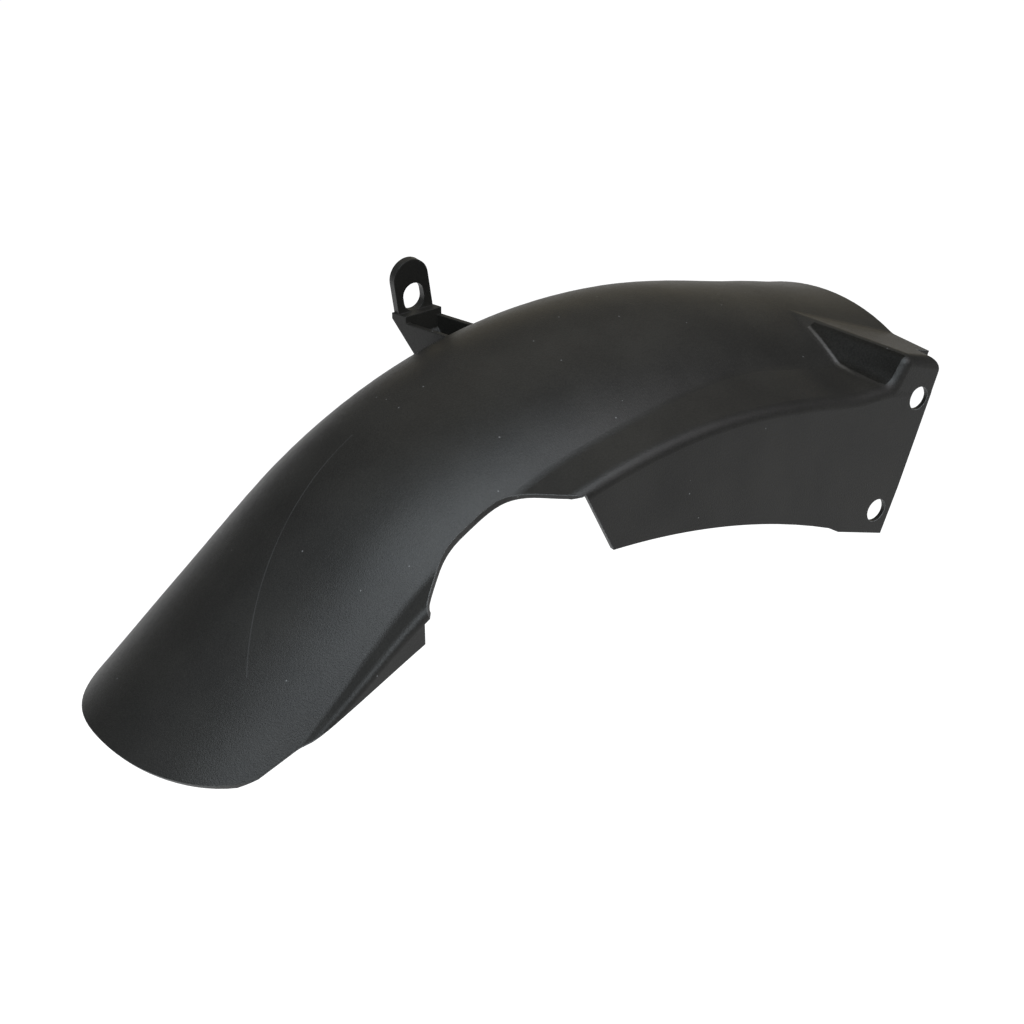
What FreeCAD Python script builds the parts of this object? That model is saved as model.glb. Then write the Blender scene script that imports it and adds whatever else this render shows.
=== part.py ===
"""Rear mudguard: one moulded plastic shell with a bolt flange at the front and a lug on the far side.

X is forward, Z is up and the flange side is at -Y. The shell is built around the wheel's axle and the
wheel's middle plane, then moved so that the middle of the flange's hole pair is the origin. Side-view
places are given as (u, h): u is the distance behind the crown's top, measured along the crown line,
and h is the height from that line. Sizes are in millimetres and degrees.
"""
import FreeCAD
import Part
import math
import os

V = FreeCAD.Vector

# Crown line: an arc over the wheel, then a straight tail and a straight front
WALL = 2.0
CROWN_R = 237.5
TAIL_ANGLE = 37.9
TAIL_LENGTH = 102.5
FRONT_ANGLE = 15.1
FRONT_LENGTH = 72.4
FRONT_TILT = 20.3

# Cross-section: arched crown, crease, shelf, rounded edge and side wall
ARCH_R = 80.0
FRONT_ARCH_R = 113.0
FRONT_SHIFT = 4.0
FLARE_START = 20.0
SIDE_Y = 70.0
FLAP_Y = 63.5
TAIL_Y = 60.0
FAR_Y = 60.0
FAR_ROUND = 6.0
SHELF_WIDTH = 17.0
SHELF_DROP = 4.5
FRONT_SHELF = 22.0
FRONT_SHELF_DROP = 7.5
FLAP_SHELF = 9.5
FLAP_DROP = 1.2
TAIL_SHELF = 3.0
TAIL_DROP = 1.5
CREASE_ROUND = 6.0
EDGE_ROUND = 5.0

# Tail end, flap and the panel's rear edge
TAIL_BOW = 43.0
TAIL_POWER = 2.35
TAIL_SKEW = 3.0
TAIL_RIM = 23.5
FLAP_BACK = 12.0
FLAP_DEPTH = 33.2
FLAP_LEAN = 6.2
UNDER_SHELF = 26.0
PANEL_BACK = 65.8
PANEL_LEAN = 7.0
PANEL_DEPTH = 56.0
HEM_DEPTH = 70.0
FAR_RIM_DEPTH = 34.5

# Flange: its foot, its front edge and its holes, set back from the crown's front edge
FOOT_DEPTH = 82.1
FOOT_RISE = 2.2
STEP_RISE = 4.3
STEP_BACK = 44.5
FOOT_BACK = 38.1
TOE_BACK = 11.6
KNEE_BACK = 8.9
KNEE_RISE = 20.8
TIP_BACK = 4.4
TIP_DEPTH = 4.8
TIP_ROUND = 6.0
TIP_Y = 59.0
HOLE_R = 5.0
HOLE_SPACING = 50.0
HOLE_TILT = 67.7
HOLES_BACK = 15.2
HOLES_DEPTH = 46.5

# Cap: a flat top and a slanted rear wall that join the flange to the crown
CAP_DROP = 5.2
CAP_SLOPE = 19.3
CAP_START_Y = 17.0
CAP_ROOT_Y = 12.0
CAP_LENGTH_IN = 45.6
CAP_LENGTH_OUT = 23.3
CAP_FALL_IN = 20.0
CAP_FALL_OUT = 58.0
CAP_ROUND = 4.5
CAP_FOOT_ROUND = 8.0
CAP_INSET = 0.15

# Lug and its arm, on the far side
LUG_U = 39.2
LUG_Y = 70.0
LUG_THICK = 3.5
LUG_WIDTH = 16.6
LUG_RISE = 10.5
LUG_LEAN = 8.0
SLOT_WIDTH = 10.0
SLOT_HEIGHT = 12.2
SLOT_DROP = 6.2
LEDGE = 3.5
LEDGE_DROP = 12.3
LEDGE_HEIGHT = 2.5
ARM_DROP = 15.4
ARM_DEPTH = 16.0
ARM_WIDTH = 17.6
ARM_AHEAD = 1.2
ARM_SKEW = 0.31

# Spare length of the solids that are cut, and how far a cutting solid reaches past what it cuts
SPARE = 6.0
PAST = 30.0

TAIL_U = CROWN_R * math.radians(TAIL_ANGLE)
FRONT_U = -CROWN_R * math.radians(FRONT_ANGLE)
FRONT_END = FRONT_U - FRONT_LENGTH
CORNER_S = TAIL_LENGTH - TAIL_BOW
CORNER_U = TAIL_U + CORNER_S
FLAP_U = TAIL_U - FLAP_BACK
SKIRT = FOOT_DEPTH + PAST

# Near side along the crown: u, half width, shelf width, shelf drop, share of the full rounds
PROFILE = [
    (FRONT_END + FOOT_BACK, SIDE_Y, FRONT_SHELF, SHELF_DROP, 1.0),
    (FRONT_U + FLARE_START, SIDE_Y, FRONT_SHELF, FRONT_SHELF_DROP, 1.0),
    (PANEL_BACK - 2 * FLARE_START, SIDE_Y, SHELF_WIDTH, SHELF_DROP, 1.0),
    (PANEL_BACK + 9, SIDE_Y, SHELF_WIDTH, SHELF_DROP, 1.0),
    (FLAP_U, FLAP_Y, FLAP_SHELF, FLAP_DROP, 0.75),
    (CORNER_U, TAIL_Y, TAIL_SHELF, TAIL_DROP, 0.4),
]

# Wheel cut-out seen from above: share of the way from the panel to the flap, and half width
NOTCH = [
    (1.053, FLAP_Y + 1.0),
    (1.004, FLAP_Y - 2.3),
    (0.890, FLAP_Y - 7.2),
    (0.811, FLAP_Y - 10.1),
    (0.715, FLAP_Y - 11.9),
    (0.565, FLAP_Y - 12.5),
    (0.426, SIDE_Y - 19.1),
    (0.280, SIDE_Y - 17.3),
    (0.146, SIDE_Y - 9.0),
    (-0.006, SIDE_Y + 0.3),
]


def along(table, u):
    """Value of a table of (u, value) rows at u, held level past both ends."""
    if u <= table[0][0]:
        return table[0][1]
    for (u0, v0), (u1, v1) in zip(table, table[1:]):
        if u <= u1:
            return v0 + (v1 - v0) * (u - u0) / (u1 - u0)
    return table[-1][1]


def unit(degrees):
    """Direction in the side view, turned up from straight back."""
    angle = math.radians(degrees)
    return V(-math.cos(angle), 0, math.sin(angle))


def station(u):
    """Point of the crown line at u, and the outward direction there."""
    held = min(max(u, FRONT_U), TAIL_U)
    angle = math.degrees(held / CROWN_R)
    out = unit(90 - angle)
    return out * CROWN_R + unit(-angle) * (u - held), out


def spot(u, h, y=0.0):
    """Point in space at (u, h), moved sideways by y."""
    at, out = station(u)
    return at + out * h + V(0, y, 0)


def arc_points(centre, radius, start, end):
    """Start, middle and end of the shorter arc between two directions from a centre."""
    mx = start[0] + end[0]
    mz = start[1] + end[1]
    size = math.hypot(mx, mz)
    ways = (start, (mx / size, mz / size), end)
    return [(centre[0] + radius * w[0], centre[1] + radius * w[1]) for w in ways]


def near_profile(u, arch, skin):
    """Hollow and outer round of the near side, each as three points (outward, up)."""
    edge, width, drop, share = [along([(row[0], row[i]) for row in PROFILE], u) for i in range(1, 5)]
    r_in = CREASE_ROUND * share
    r_out = max(EDGE_ROUND * share, skin + 0.3)
    crease = edge - width
    top = math.sqrt(arch * arch - crease * crease)
    slope = math.atan2(drop, width)
    run = (math.cos(slope), -math.sin(slope))
    up = (math.sin(slope), math.cos(slope))
    # The hollow touches the crown's circle, whose centre is (0, -arch), and the shelf
    by = crease + r_in * up[0]
    bz = top + r_in * up[1]
    half = by * run[0] + bz * run[1]
    shift = math.sqrt(half * half - by * by - bz * bz + (arch + r_in) ** 2) - half
    hollow = (by + shift * run[0], bz + shift * run[1])
    to_crown = (-hollow[0] / (arch + r_in), -hollow[1] / (arch + r_in))
    # The outer round touches the shelf and the side wall
    length = (edge - r_out + r_out * up[0] - crease) / run[0]
    outer = (edge - r_out, top + length * run[1] - r_out * up[1])
    hollow = (hollow[0], hollow[1] - arch)
    outer = (outer[0], outer[1] - arch)
    return (arc_points(hollow, r_in + skin, to_crown, (-up[0], -up[1])),
            arc_points(outer, r_out - skin, up, (1.0, 0.0)))


def far_profile(arch, skin):
    """Round between the crown and the plain far wall, as three points (outward, up)."""
    y = FAR_Y - FAR_ROUND
    reach = arch - FAR_ROUND
    z = math.sqrt(reach * reach - y * y)
    return arc_points((y, z - arch), FAR_ROUND - skin, (y / reach, z / reach), (1.0, 0.0))


def bend(start, middle, end):
    """Edge of a cubic curve that follows the arc through three points, the second one midway."""
    chord = end - start
    rise = middle - (start + end) * 0.5
    share = (1 - (2 * rise.Length / chord.Length) ** 2) / 3
    lift = rise * (4 / 3)
    curve = Part.BezierCurve()
    curve.setPoles([start, start + chord * share + lift, end - chord * share + lift, end])
    return curve.toShape()


def section(u, skin, low):
    """Closed section wire of all that lies under the shell's outer face, or its inner face."""
    arch = along([(FRONT_END, FRONT_ARCH_R), (FRONT_U - FLARE_START, ARCH_R)], u)
    shift = along([(FRONT_END, -FRONT_SHIFT), (FRONT_U - FLARE_START, 0.0)], u)
    hollow, edge = near_profile(u, arch, skin)
    hollow = [spot(u, h, shift - y) for y, h in hollow]
    edge = [spot(u, h, -y) for y, h in edge]
    far = [spot(u, h, shift + y) for y, h in far_profile(arch, skin)]
    centre = spot(u, -arch, shift)
    ways = far[0] + hollow[0] - centre * 2
    crest = centre + ways * ((arch - skin) / ways.Length)
    near_low = spot(u, low, edge[2].y)
    far_low = spot(u, low, far[2].y)
    return Part.Wire([
        Part.makeLine(far_low, far[2]),
        bend(far[2], far[1], far[0]),
        bend(far[0], crest, hollow[0]),
        bend(*hollow),
        Part.makeLine(hollow[2], edge[0]),
        bend(*edge),
        Part.makeLine(edge[2], near_low),
        Part.makeLine(near_low, far_low),
    ])


def filled(skin, extra):
    """Solid under the outer face (skin 0), or under the inner face and a little longer."""
    stops = [FRONT_END - 2 * SPARE - extra]
    stops += [FRONT_END + FRONT_LENGTH * i / 4 for i in range(4)]
    stops += [FRONT_U + (TAIL_U - FRONT_U) * i / 9 for i in range(10)]
    stops += [TAIL_U + TAIL_LENGTH * i / 5 for i in range(1, 6)]
    stops.append(TAIL_U + TAIL_LENGTH + 2 * SPARE + extra)
    return Part.makeLoft([section(u, skin, -SKIRT - extra) for u in stops], True, False)


def spline(points):
    """Edge of a smooth curve through points."""
    curve = Part.BSplineCurve()
    curve.interpolate(points)
    return curve.toShape()


def side_prism(runs, y0, y1):
    """Solid with a side-view outline of runs: two points make a line, three an arc, more a spline."""
    edges = []
    for run in runs:
        points = [V(p.x, y0, p.z) for p in run]
        if len(points) == 2:
            edges.append(Part.makeLine(*points))
        elif len(points) == 3:
            edges.append(Part.Arc(*points).toShape())
        else:
            edges.append(spline(points))
    return Part.Face(Part.Wire(edges)).extrude(V(0, y1 - y0, 0))


def chain(points):
    """Runs of two for a row of points joined by lines."""
    return [[a, b] for a, b in zip(points, points[1:])]


def cap(skin):
    """Solid under the cap, or under its inner face, from inside the crown out to the flange."""
    side = SIDE_Y - CAP_INSET - skin
    slope = math.radians(CAP_SLOPE)
    edge = spot(FRONT_END, 0) - unit(90 + FRONT_TILT) * CAP_DROP
    back = unit(CAP_SLOPE)
    down = unit(CAP_SLOPE - 90)

    def ridge(y):
        share = (-y - CAP_START_Y) / (SIDE_Y - CAP_START_Y)
        length = CAP_LENGTH_IN + (CAP_LENGTH_OUT - CAP_LENGTH_IN) * share
        fall = CAP_FALL_IN + (CAP_FALL_OUT - CAP_FALL_IN) * share
        length -= skin * math.tan((slope + math.radians(fall)) / 2)
        return edge + back * length + down * skin + V(0, y, 0), length, fall

    def outline(y):
        top, length, fall = ridge(y)
        foot = top + unit(-fall) * PAST
        ahead = top - back * (length + PAST)
        floor = edge.z - 2 * PAST
        return Part.makePolygon([top, foot, V(foot.x, y, floor), V(ahead.x, y, floor), ahead, top])

    block = Part.makeLoft([outline(2 * skin - CAP_ROOT_Y), outline(-side)], True, True)
    corner = ridge(-side)[0]
    rims = [e for e in block.Edges if min(corner.distanceToPoint(v.Point) for v in e.Vertexes) < 0.01]
    return block.makeFillet(max(CAP_ROUND - skin, 0.5), rims)


def capped(outer):
    """Outer solid with the cap on it, and a hollow round where the cap's rear wall meets the crown."""
    block = cap(0.0)
    whole = outer.fuse(block)
    slanted = [f for f in block.Faces if f.normalAt(0.5, 0.5).x < -0.2 and f.normalAt(0.5, 0.5).z > 0.2]
    wall = max(slanted, key=lambda f: f.Area)
    foot = []
    for e in whole.Edges:
        mid = Part.Vertex(e.valueAt((e.FirstParameter + e.LastParameter) / 2))
        if max(mid.distToShape(wall)[0], mid.distToShape(outer)[0]) < 0.01:
            foot.append(e)
    return whole.makeFillet(CAP_FOOT_ROUND, max(foot, key=lambda e: e.Length))


def tail_end():
    """What lies outside the rounded end of the tail."""
    at, out = station(TAIL_U)
    back = unit(-TAIL_ANGLE)
    corner_y = TAIL_Y - TAIL_SHELF

    def place(s, y):
        return at + back * s + V(0, y, 0) - out * SKIRT

    def bow(share):
        deep = 1 - (1 - abs(share) ** TAIL_POWER) ** (1 / TAIL_POWER)
        skew = TAIL_SKEW * (1 - share * share) ** 0.5
        return place(TAIL_LENGTH - TAIL_BOW * deep, corner_y * share + skew)

    shares = (1.0, 0.9, 0.76, 0.57, 0.36, 0.0, -0.36, -0.57, -0.76, -0.9, -1.0)
    curve = spline([bow(share) for share in shares])
    wide = SIDE_Y + PAST
    far_s = TAIL_LENGTH + 2 * PAST
    rim = [bow(-1.0), place(CORNER_S, -wide), place(far_s, -wide), place(far_s, wide),
           place(CORNER_S, wide), bow(1.0)]
    lines = [Part.makeLine(a, b) for a, b in zip(rim, rim[1:])]
    return Part.Face(Part.Wire([curve] + lines)).extrude(out * (SKIRT + PAST))


def tail_rim():
    """Corner of the tail, the flap's lowest point, and a point on their line well past the tail."""
    corner = spot(CORNER_U, -TAIL_RIM)
    flap = spot(TAIL_U, -FLAP_DEPTH)
    return corner, flap, corner + (corner - flap) * 2


def near_outline():
    """What lies below the near side's outline: tail flap, wheel cut-out and flange."""
    flap, start = tail_rim()[1:]
    arch = [spot(u, -UNDER_SHELF) for u in (FLAP_U + FLAP_LEAN, (FLAP_U + PANEL_BACK) / 2, PANEL_BACK)]
    rear = spot(PANEL_BACK - PANEL_LEAN, -PANEL_DEPTH)
    step_u = FRONT_END + STEP_BACK
    step = spot(step_u, STEP_RISE - FOOT_DEPTH)
    hem = [rear, spot((PANEL_BACK - PANEL_LEAN + step_u) / 2, -HEM_DEPTH), step]
    heel = spot(FRONT_END + FOOT_BACK, FOOT_RISE - FOOT_DEPTH)
    toe = spot(FRONT_END + TOE_BACK, -FOOT_DEPTH)
    past = toe * 2 - heel
    around = [step, heel, past, V(past.x, 0, 0), V(start.x, 0, 0), start]
    runs = [[start, flap], [flap, arch[0]], arch, [arch[2], rear], hem]
    return side_prism(runs + chain(around), -SIDE_Y - PAST, 0.0)


def notch():
    """What the wheel cut-out takes from the shelf, cut straight down through it."""
    at, out = station((FLAP_U + PANEL_BACK) / 2)
    base = at - out * SKIRT

    def flat(share, y):
        point = spot(PANEL_BACK + (FLAP_U - PANEL_BACK) * share, -UNDER_SHELF, -y)
        return point - out * (point - base).dot(out)

    wide = SIDE_Y + PAST
    rim = [flat(*NOTCH[-1]), flat(0.0, wide), flat(NOTCH[0][0], wide), flat(*NOTCH[0])]
    lines = [Part.makeLine(a, b) for a, b in zip(rim, rim[1:])]
    curve = spline([flat(share, y) for share, y in NOTCH])
    return Part.Face(Part.Wire([curve] + lines)).extrude(out * 2 * SKIRT)


def far_outline():
    """What lies below the far side's plain rim."""
    corner, flap, start = tail_rim()
    u_mid = (FLAP_U + FRONT_U) / 2
    rim = [spot(u, -FAR_RIM_DEPTH) for u in (FLAP_U, u_mid, FRONT_U)]
    end = spot(FRONT_END - PAST, -FAR_RIM_DEPTH)
    around = [rim[-1], end, V(end.x, 0, 0), V(start.x, 0, 0), start]
    return side_prism([[start, corner], [corner, rim[0]], rim] + chain(around), 0.0, SIDE_Y + PAST)


def front_edges():
    """What lies ahead of the crown's front edge, and ahead of the flange's own front edge."""
    rise = unit(90 + FRONT_TILT)
    high = spot(FRONT_END, 0) + rise * PAST
    low = high - rise * (2 * SKIRT)
    ahead = V(3 * PAST, 0, 0)
    crown = side_prism(chain([low, high, high + ahead, low + ahead, low]), -SIDE_Y - PAST, FAR_Y + PAST)
    knee = spot(FRONT_END + KNEE_BACK, KNEE_RISE - FOOT_DEPTH)
    toe = spot(FRONT_END + TOE_BACK, -FOOT_DEPTH)
    under = toe * 2 - knee
    tip_u = FRONT_END + TIP_BACK
    tip = [spot(tip_u, -TIP_DEPTH - TIP_ROUND), spot(tip_u + TIP_ROUND / 5, -TIP_DEPTH - TIP_ROUND / 3)]
    tip.append(spot(tip_u + TIP_ROUND * 2 / 3, -TIP_DEPTH))
    top = spot(tip_u + 2 * TIP_ROUND, -TIP_DEPTH / 3)
    over = top + V(0, 0, 2 * PAST)
    around = [tip[2], top, over, over + ahead, V(over.x + ahead.x, 0, under.z), under]
    runs = [[under, knee], [knee, tip[0]], tip]
    return crown.fuse(side_prism(runs + chain(around), -SIDE_Y - PAST, -TIP_Y))


def arm(mid):
    """Open-topped arm that stands out from the far wall and carries the lug."""
    outside = LUG_Y + LUG_THICK
    inside = FAR_Y - ARM_DEPTH
    ledge_y = LUG_Y - LEDGE
    arm_z = mid.z - ARM_DROP
    ledge_z = mid.z - LEDGE_DROP
    foot_z = arm_z - ARM_DEPTH
    lip_z = ledge_z - LEDGE_HEIGHT

    def across(points):
        ring = [V(mid.x - PAST, y, z) for y, z in points + points[:1]]
        return Part.Face(Part.makePolygon(ring)).extrude(V(2 * PAST, 0, 0))

    def plan(inset):
        half = ARM_WIDTH / 2 - inset
        ring = []
        for y, x in ((inside, -half), (inside, half), (outside, half), (outside, -half)):
            ring.append(V(mid.x + ARM_AHEAD + ARM_SKEW * (LUG_Y - y) + x, y, foot_z - PAST))
        return Part.Face(Part.makePolygon(ring + ring[:1])).extrude(V(0, 0, 4 * PAST))

    climb = (lip_z - foot_z) / (outside - FAR_Y)
    in_wall_z = foot_z + WALL / 2 * climb
    walls = across([(inside, arm_z), (ledge_y, arm_z), (ledge_y, ledge_z), (outside, ledge_z),
                    (outside, lip_z), (FAR_Y, foot_z), (inside, foot_z)])
    hollow = across([(inside, arm_z + PAST), (ledge_y, arm_z + PAST),
                     (ledge_y, foot_z + (ledge_y - FAR_Y + WALL) * climb),
                     (FAR_Y - WALL / 2, in_wall_z), (inside, in_wall_z)])
    return plan(0.0).common(walls).cut(plan(WALL).common(hollow))


def lug(mid):
    """Slotted plate with a round top, upright first and then leant back about the slot."""
    half = LUG_WIDTH / 2
    base_z = mid.z - LEDGE_DROP - LEDGE_HEIGHT
    crest_z = mid.z + LUG_RISE - half
    across = V(0, 1, 0)
    plate = Part.makeBox(LUG_WIDTH, LUG_THICK, crest_z - base_z, V(mid.x - half, LUG_Y, base_z))
    plate = plate.fuse(Part.makeCylinder(half, LUG_THICK, V(mid.x, LUG_Y, crest_z), across))
    pivot = V(mid.x, LUG_Y, mid.z - SLOT_DROP)
    gap = (SLOT_HEIGHT - SLOT_WIDTH) / 2
    plate = plate.cut(Part.makeBox(SLOT_WIDTH, LUG_THICK, 2 * gap, pivot - V(SLOT_WIDTH / 2, 0, gap)))
    for z in (-gap, gap):
        plate = plate.cut(Part.makeCylinder(SLOT_WIDTH / 2, LUG_THICK, pivot + V(0, 0, z), across))
    plate.rotate(pivot, across, -LUG_LEAN)
    return plate


outer = filled(0.0, 0.0)
inner = filled(WALL, SPARE)
shell = capped(outer).cut(inner.fuse(cap(WALL)))
for trim in (tail_end(), near_outline(), notch(), far_outline(), front_edges()):
    shell = shell.cut(trim)

holes_mid = spot(FRONT_END + HOLES_BACK, -HOLES_DEPTH, -SIDE_Y)
for way in (HOLE_TILT, HOLE_TILT + 180):
    hole = holes_mid - unit(-way) * (HOLE_SPACING / 2)
    shell = shell.cut(Part.makeCylinder(HOLE_R, 2 * PAST, hole - V(0, PAST, 0), V(0, 1, 0)))

lug_mid = station(LUG_U)[0]
part = shell.fuse(arm(lug_mid).fuse(lug(lug_mid)).cut(inner))
part.translate(-holes_mid)

os.makedirs("parts", exist_ok=True)
part.exportStep("parts/rear_mudguard.step")
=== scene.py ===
"""Studio picture of the rear mudguard: satin black moulded plastic over a pale floor.

Lengths and places are in metres, in the part's own frame. A noise is a scale and a detail.
"""
import math

import bpy
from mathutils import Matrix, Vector


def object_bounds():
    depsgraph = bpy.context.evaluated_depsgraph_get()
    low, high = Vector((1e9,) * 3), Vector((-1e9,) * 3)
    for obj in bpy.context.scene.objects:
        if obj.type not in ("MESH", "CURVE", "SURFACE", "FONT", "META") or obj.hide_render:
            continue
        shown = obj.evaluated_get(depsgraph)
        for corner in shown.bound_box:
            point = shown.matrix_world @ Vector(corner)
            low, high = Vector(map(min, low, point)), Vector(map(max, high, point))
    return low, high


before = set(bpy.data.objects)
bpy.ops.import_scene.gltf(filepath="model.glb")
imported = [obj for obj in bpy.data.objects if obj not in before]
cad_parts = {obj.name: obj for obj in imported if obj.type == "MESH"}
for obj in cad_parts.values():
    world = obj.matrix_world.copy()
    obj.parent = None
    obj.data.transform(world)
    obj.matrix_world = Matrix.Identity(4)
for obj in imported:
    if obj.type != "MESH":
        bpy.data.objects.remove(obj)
cad_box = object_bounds()

# Camera, as it stood for the photograph
CAMERA_AT = (-0.6016, -0.5519, 0.4261)
CAMERA_TURN = (math.radians(60.491), 0.0, math.radians(-36.256))
LENS_MM = 77.38
SENSOR_MM = 36.0

# Floor and world
WHITE = (1.0, 1.0, 1.0, 1.0)
FLOOR_GAP = 0.80
FLOOR_SIZE = 16.0
FLOOR_COLOUR = (0.78, 0.78, 0.78, 1.0)
FLOOR_ROUGHNESS = 0.9
FLOOR_GLOW = 0.83
WORLD_LEVEL = 0.20

# Lights: name, direction from the part, distance, width, height, watts and colour
LIGHTS = [
    ("key_light", (-0.28, -0.55, 0.79), 1.3, 1.30, 1.15, 22.5, (0.86, 0.94, 1.0)),
    ("near_fill", (0.38, -0.62, 0.69), 1.3, 0.80, 1.00, 4.6, (1.0, 0.94, 0.98)),
    ("far_top", (0.30, 0.45, 0.84), 1.4, 1.50, 0.90, 2.2, (1.0, 0.94, 0.80)),
    ("far_glow", (0.68, 0.72, 0.14), 1.6, 1.60, 0.50, 0.72, (1.0, 0.82, 0.42)),
    ("rear_top", (-0.62, 0.36, 0.70), 1.4, 1.00, 0.80, 1.5, (0.88, 0.95, 1.0)),
]

# Plastic: two tones mixed half by cloudy and half by grainy noise
DARK_TONE = (0.0060, 0.0057, 0.0050, 1.0)
LIGHT_TONE = (0.0128, 0.0122, 0.0107, 1.0)
TONE_ENDS = (0.38, 0.62)
CLOUD_NOISE = (38.0, 5.0)
GRAIN_NOISE = (1400.0, 2.0)

# Plastic: sheen and moulded grain
SPECULAR = 0.33
ROUGHNESS_LEAST = 0.32
ROUGHNESS_PATCHES = 0.14
PATCH_NOISE = (22.0, 3.0)
ROUGHNESS_GRAIN = 0.10
FINE_NOISE = (900.0, 2.0)
BUMP_DEPTH = 0.00008
BUMP_NOISE = (1700.0, 2.0)

# Edges: rounding, and patchy pale colour where the surface turns sharply, short of the far side: partly
# wear, partly a painted highlight on the rims
EDGE_RADIUS = 0.0007
# Pale rim colour: partly wear, partly a painted highlight along the rounded edges
RIM_WEAR_AND_HIGHLIGHT_TONE = (0.34, 0.34, 0.34, 1.0)
RIM_PALE_START = 0.08
RIM_PALE_GAIN = 6.0
RIM_PALE_MOST = 0.55
RIM_PALE_NOISE = (40.0, 3.0)
RIM_PALE_FAR_Y = 0.105

# Scratch on the tail: part of a circle seen from above, between two values of X
SCRATCH_TONE = (0.042, 0.042, 0.042, 1.0)
SCRATCH_CENTRE = (-0.2078, -0.0171)
SCRATCH_RADIUS = 0.0972
SCRATCH_HALF_WIDTH = 0.00022
SCRATCH_ENDS = (-0.287, -0.213)
SCRATCH_NOISE = (55.0, 2.0)

# Dust specks: cells per metre, radius as a share of a cell, and the share of cells left empty
SPECK_TONE = (0.11, 0.11, 0.11, 1.0)
SPECK_CELLS = 160.0
SPECK_RADIUS = 0.05
SPECK_EMPTY = 0.65

# Wall under the cap, dulled as painted shade in the recess: the box around it, how far it faces the
# tail, and a painted highlight stripe at its end
RECESS_LOW = (-0.024, 0.003, 0.030)
RECESS_HIGH = (0.006, 0.040, 0.060)
# Sheen on the wall under the cap, kept low as painted shade in the recess
PAINTED_SHADE_SPECULAR = 0.05
WALL_FACING = (0.20, 0.34)
FOOT_REAR_X = -0.017
FOOT_GAIN = 18.0
FOOT_MOST = 0.12
# Sheen on the stripe, raised as a painted highlight
PAINTED_HIGHLIGHT_SPECULAR = 1.0
STRIPE_FACING = (0.02, 0.14)
STRIPE_FRONT_X = -0.014
STRIPE_FADE = 0.003

# Flat side flange where it faces the near side, given less sheen so that it reflects the floor more
# dimly
FLANGE_SPECULAR = 0.23
FLANGE_FACING = (-0.90, -0.99)
FLANGE_REAR_X = -0.20


def add_node(tree, kind, **sockets):
    """New shader node with values on its named input sockets."""
    node = tree.nodes.new(kind)
    for name, value in sockets.items():
        node.inputs[name.replace("_", " ")].default_value = value
    return node


def maths(tree, operation, *values):
    """Output of a maths node fed by sockets or numbers."""
    node = tree.nodes.new("ShaderNodeMath")
    node.operation = operation
    for socket, value in zip(node.inputs, values):
        if isinstance(value, (int, float)):
            socket.default_value = value
        else:
            tree.links.new(value, socket)
    return node.outputs[0]


def product(tree, result, *factors):
    """Product of sockets or numbers."""
    for factor in factors:
        result = maths(tree, "MULTIPLY", result, factor)
    return result


def between(tree, value, low, high):
    """1 where a value lies between two others, else 0."""
    above = maths(tree, "GREATER_THAN", value, low)
    below = maths(tree, "LESS_THAN", value, high)
    return product(tree, above, below)


def smooth_step(tree, value, start, end):
    """0 before a start value and 1 after an end value, eased between them."""
    node = add_node(tree, "ShaderNodeMapRange", From_Min=start, From_Max=end)
    node.interpolation_type = "SMOOTHSTEP"
    tree.links.new(value, node.inputs["Value"])
    return node.outputs["Result"]


def axes_of(tree, vector):
    """X, Y and Z sockets of a vector socket."""
    node = tree.nodes.new("ShaderNodeSeparateXYZ")
    tree.links.new(vector, node.inputs[0])
    return tuple(node.outputs)


def blend(tree, share, first, second):
    """Colour socket between two colours or sockets, by a share socket."""
    node = tree.nodes.new("ShaderNodeMix")
    node.data_type = "RGBA"
    tree.links.new(share, node.inputs[0])
    for socket, value in ((node.inputs[6], first), (node.inputs[7], second)):
        if isinstance(value, tuple):
            socket.default_value = value
        else:
            tree.links.new(value, socket)
    return node.outputs[2]


def noise(tree, place, kind):
    """Noise value at a place, from a scale and a detail."""
    scale, detail = kind
    node = add_node(tree, "ShaderNodeTexNoise", Scale=scale, Detail=detail)
    tree.links.new(place, node.inputs["Vector"])
    return node.outputs["Fac"]


def seen_ray(tree):
    """1 for rays from the camera, from glossy surfaces or through clear ones, else 0."""
    path = tree.nodes.new("ShaderNodeLightPath")
    either = maths(tree, "MAXIMUM", path.outputs["Is Camera Ray"], path.outputs["Is Glossy Ray"])
    return maths(tree, "MAXIMUM", either, path.outputs["Is Transmission Ray"])


def plain_tone(tree, place):
    """Colour of the unmarked plastic, faintly mottled."""
    ramp = tree.nodes.new("ShaderNodeValToRGB")
    for element, end, tone in zip(ramp.color_ramp.elements, TONE_ENDS, (DARK_TONE, LIGHT_TONE)):
        element.position = end
        element.color = tone
    cloudy = maths(tree, "MULTIPLY", noise(tree, place, CLOUD_NOISE), 0.5)
    mixed = maths(tree, "MULTIPLY_ADD", noise(tree, place, GRAIN_NOISE), 0.5, cloudy)
    tree.links.new(mixed, ramp.inputs["Fac"])
    return ramp.outputs["Color"]


def rim_wear_and_highlight_mask(tree, place, normal, rounded):
    """Share of pale rim colour, partly wear and partly painted highlight, where the rounded normal
    departs from the surface's own.
    """
    agree = tree.nodes.new("ShaderNodeVectorMath")
    agree.operation = "DOT_PRODUCT"
    tree.links.new(rounded, agree.inputs[0])
    tree.links.new(normal, agree.inputs[1])
    turned = maths(tree, "SUBTRACT", 1.0, agree.outputs["Value"])
    sharp = maths(tree, "MAXIMUM", maths(tree, "SUBTRACT", turned, RIM_PALE_START), 0.0)
    patchy = product(tree, sharp, noise(tree, place, RIM_PALE_NOISE), RIM_PALE_GAIN)
    pale_rim = maths(tree, "MINIMUM", patchy, RIM_PALE_MOST)
    y = axes_of(tree, place)[1]
    return product(tree, pale_rim, maths(tree, "LESS_THAN", y, RIM_PALE_FAR_Y))


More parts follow.
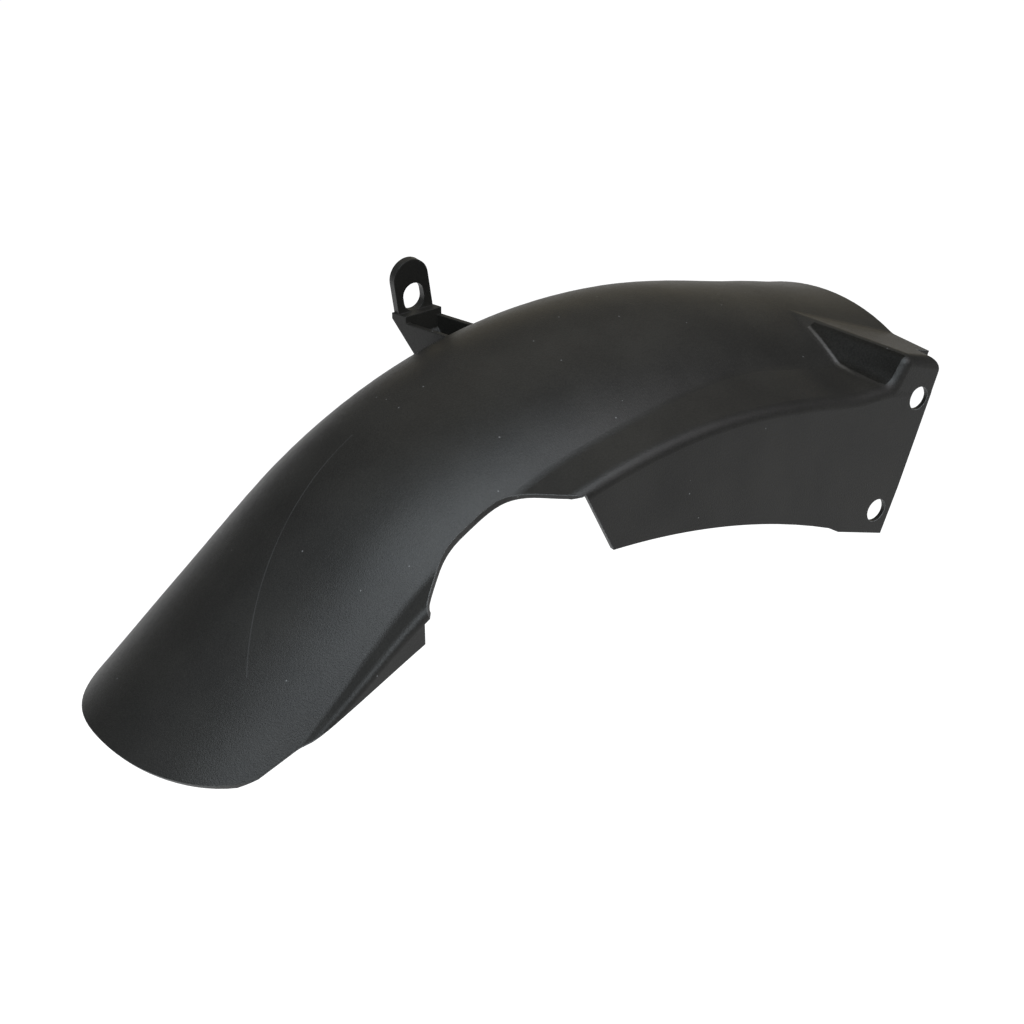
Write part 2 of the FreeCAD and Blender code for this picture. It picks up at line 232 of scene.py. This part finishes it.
def scratch_mask(tree, place):
    """Share of the long thin scratch, broken up by noise."""
    x, y = axes_of(tree, place)[:2]
    across = maths(tree, "SUBTRACT", x, SCRATCH_CENTRE[0])
    along = maths(tree, "SUBTRACT", y, SCRATCH_CENTRE[1])
    square = maths(tree, "ADD", maths(tree, "POWER", across, 2.0), maths(tree, "POWER", along, 2.0))
    away = maths(tree, "SUBTRACT", maths(tree, "SQRT", square), SCRATCH_RADIUS)
    thin = maths(tree, "LESS_THAN", maths(tree, "ABSOLUTE", away), SCRATCH_HALF_WIDTH)
    inside = between(tree, x, *SCRATCH_ENDS)
    far_half = maths(tree, "GREATER_THAN", y, SCRATCH_CENTRE[1])
    return product(tree, thin, noise(tree, place, SCRATCH_NOISE), inside, far_half)


def speck_mask(tree, place):
    """Share of sparse dust specks."""
    cells = add_node(tree, "ShaderNodeTexVoronoi", Scale=SPECK_CELLS)
    tree.links.new(place, cells.inputs["Vector"])
    small = maths(tree, "LESS_THAN", cells.outputs["Distance"], SPECK_RADIUS)
    split = tree.nodes.new("ShaderNodeSeparateColor")
    tree.links.new(cells.outputs["Color"], split.inputs[0])
    filled = maths(tree, "GREATER_THAN", split.outputs[0], SPECK_EMPTY)
    return product(tree, small, filled)


def painted_shade_and_highlight_masks(tree, place, normal):
    """Shares of the wall under the cap, dulled as painted shade, and of the painted highlight stripe at
    its rear end.
    """
    places = axes_of(tree, place)
    x = places[0]
    boxed = product(tree, 1.0, *(
        between(tree, axis, low, high) for axis, low, high in zip(places, RECESS_LOW, RECESS_HIGH)))
    ahead = maths(tree, "MULTIPLY_ADD", x, FOOT_GAIN, -FOOT_GAIN * FOOT_REAR_X)
    facing = maths(tree, "SUBTRACT", maths(tree, "MINIMUM", ahead, FOOT_MOST), axes_of(tree, normal)[0])
    shaded_wall = product(tree, boxed, smooth_step(tree, facing, *WALL_FACING))
    rear = smooth_step(tree, x, STRIPE_FRONT_X, STRIPE_FRONT_X - STRIPE_FADE)
    highlight_stripe = product(tree, boxed, rear, smooth_step(tree, facing, *STRIPE_FACING))
    return shaded_wall, highlight_stripe


def flange_mask(tree, place, normal):
    """Share of the flat side flange."""
    facing = smooth_step(tree, axes_of(tree, normal)[1], *FLANGE_FACING)
    ahead = maths(tree, "GREATER_THAN", axes_of(tree, place)[0], FLANGE_REAR_X)
    return product(tree, ahead, facing)


def shine(tree, place, normal):
    """Specular level: lowered on the cap's wall as painted shade, raised on the stripe as a painted
    highlight, and lowered on the flange.
    """
    # Painted shade on the wall under the cap, painted highlight on the stripe at its end
    shaded_wall, highlight_stripe = painted_shade_and_highlight_masks(tree, place, normal)
    level = maths(tree, "MULTIPLY_ADD", highlight_stripe, PAINTED_HIGHLIGHT_SPECULAR - SPECULAR, SPECULAR)
    level = maths(tree, "MULTIPLY_ADD", shaded_wall, maths(tree, "SUBTRACT", PAINTED_SHADE_SPECULAR, level), level)
    flange = flange_mask(tree, place, normal)
    return maths(tree, "MULTIPLY_ADD", flange, FLANGE_SPECULAR - SPECULAR, level)


def roughness(tree, place):
    """Roughness in broad patches with a fine grain."""
    patches = noise(tree, place, PATCH_NOISE)
    level = maths(tree, "MULTIPLY_ADD", patches, ROUGHNESS_PATCHES, ROUGHNESS_LEAST)
    return maths(tree, "MULTIPLY_ADD", noise(tree, place, FINE_NOISE), ROUGHNESS_GRAIN, level)


def plastic():
    """Satin black plastic: moulded grain, faint mottling, pale edges that are partly wear and partly
    painted highlight, a scratch, dust specks, sheen lowered as painted shade on the wall under the cap
    and raised as a painted highlight on a stripe at its end.
    """
    mat = bpy.data.materials.new("black_plastic_moulded")
    mat.use_nodes = True
    tree = mat.node_tree
    shader = tree.nodes["Principled BSDF"]
    place = tree.nodes.new("ShaderNodeTexCoord").outputs["Object"]
    normal = tree.nodes.new("ShaderNodeNewGeometry").outputs["Normal"]
    rounded = add_node(tree, "ShaderNodeBevel", Radius=EDGE_RADIUS).outputs["Normal"]

    # Pale edges: partly wear, partly a painted highlight on the rims
    tone = blend(tree, rim_wear_and_highlight_mask(tree, place, normal, rounded), plain_tone(tree, place), RIM_WEAR_AND_HIGHLIGHT_TONE)
    tone = blend(tree, scratch_mask(tree, place), tone, SCRATCH_TONE)
    tone = blend(tree, speck_mask(tree, place), tone, SPECK_TONE)
    tree.links.new(tone, shader.inputs["Base Color"])
    tree.links.new(roughness(tree, place), shader.inputs["Roughness"])
    tree.links.new(shine(tree, place, normal), shader.inputs["Specular IOR Level"])

    bump = add_node(tree, "ShaderNodeBump", Strength=1.0, Distance=BUMP_DEPTH)
    tree.links.new(noise(tree, place, BUMP_NOISE), bump.inputs["Height"])
    tree.links.new(rounded, bump.inputs["Normal"])
    tree.links.new(bump.outputs["Normal"], shader.inputs["Normal"])
    return mat


def make_floor():
    """Pale floor below the part that stays white to the camera and takes the soft shadow."""
    lowest = cad_box[0][2]
    bpy.ops.mesh.primitive_plane_add(size=FLOOR_SIZE, location=(0, 0, lowest - FLOOR_GAP))
    floor = bpy.context.object
    floor.name = "floor"
    mat = bpy.data.materials.new("pale_floor")
    mat.use_nodes = True
    tree = mat.node_tree
    shader = tree.nodes["Principled BSDF"]
    shader.inputs["Base Color"].default_value = FLOOR_COLOUR
    shader.inputs["Roughness"].default_value = FLOOR_ROUGHNESS
    shader.inputs["Emission Color"].default_value = WHITE
    glow = maths(tree, "MULTIPLY", seen_ray(tree), FLOOR_GLOW)
    tree.links.new(glow, shader.inputs["Emission Strength"])
    floor.data.materials.append(mat)


def make_world():
    """World that is white to the camera and a plain soft level for all other rays."""
    world = bpy.data.worlds.new("studio")
    bpy.context.scene.world = world
    world.use_nodes = True
    tree = world.node_tree
    back = tree.nodes["Background"]
    back.inputs["Color"].default_value = WHITE
    camera_ray = tree.nodes.new("ShaderNodeLightPath").outputs["Is Camera Ray"]
    level = maths(tree, "MULTIPLY_ADD", camera_ray, 1.0 - WORLD_LEVEL, WORLD_LEVEL)
    tree.links.new(level, back.inputs["Strength"])


def area_light(middle, name, way, far, width, height, watts, colour):
    """Soft light at a distance from the part's middle, facing it."""
    data = bpy.data.lights.new(name, "AREA")
    data.shape = "RECTANGLE"
    data.size = width
    data.size_y = height
    data.energy = watts
    data.color = colour
    light = bpy.data.objects.new(name, data)
    bpy.context.collection.objects.link(light)
    light.visible_camera = False
    way = Vector(way).normalized()
    light.location = middle + way * far
    light.rotation_euler = way.to_track_quat("Z", "Y").to_euler()


def make_camera():
    """Camera at the photograph's angle."""
    data = bpy.data.cameras.new("camera")
    data.lens = LENS_MM
    data.sensor_width = SENSOR_MM
    data.sensor_fit = "HORIZONTAL"
    camera = bpy.data.objects.new("camera", data)
    camera.location = CAMERA_AT
    camera.rotation_euler = CAMERA_TURN
    bpy.context.collection.objects.link(camera)
    bpy.context.scene.camera = camera


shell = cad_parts["rear_mudguard"]
shell.material_slots[0].material = plastic()
make_floor()
make_world()
middle = (Vector(cad_box[0]) + Vector(cad_box[1])) / 2
for row in LIGHTS:
    area_light(middle, *row)
make_camera()
bpy.context.scene.view_settings.view_transform = "Standard"
